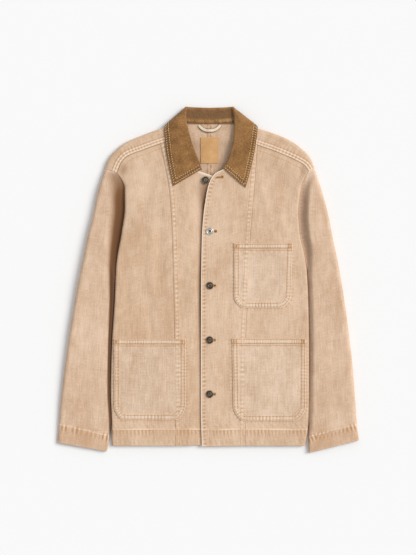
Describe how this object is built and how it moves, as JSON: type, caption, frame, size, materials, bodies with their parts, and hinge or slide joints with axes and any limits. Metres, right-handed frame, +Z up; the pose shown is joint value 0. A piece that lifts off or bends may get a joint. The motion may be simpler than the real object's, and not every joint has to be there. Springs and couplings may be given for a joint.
{
  "type": "barn jacket",
  "caption": "Denim barn jacket with a fold-down cord collar, patch pockets and a buttoned front, laid flat on its back.",
  "frame": {"origin": "on the table, under the middle of the garment's outline", "axes": "+Z up from the table out of the jacket's front, +Y towards the collar, +X towards the wearer's left"},
  "size_m": [0.6864, 0.7871, 0.0213],
  "materials": {
    "denim": "washed sand-coloured denim twill, matt",
    "collar_cord": "brown fine cord, brushed",
    "loop_tape": "cream woven tape, matt",
    "label": "tan woven patch, bare",
    "button_metal": "dark antique, worn on the rim"
  },
  "bodies": {
    "root": {"back_left": "denim", "back_right": "denim", "centre_front_left": "denim", "centre_front_right": "denim", "side_front_left": "denim", "side_front_right": "denim", "sleeve_left": "denim", "sleeve_right": "denim", "collar_under": "denim", "collar_upper": "collar_cord", "pocket_chest": "denim", "pocket_left": "denim", "pocket_right": "denim", "hanger_loop": "loop_tape", "neck_label": "label", "button_1": "button_metal", "button_2": "button_metal", "button_3": "button_metal", "button_4": "button_metal", "button_5": "button_metal"}
  },
  "joints": []
}
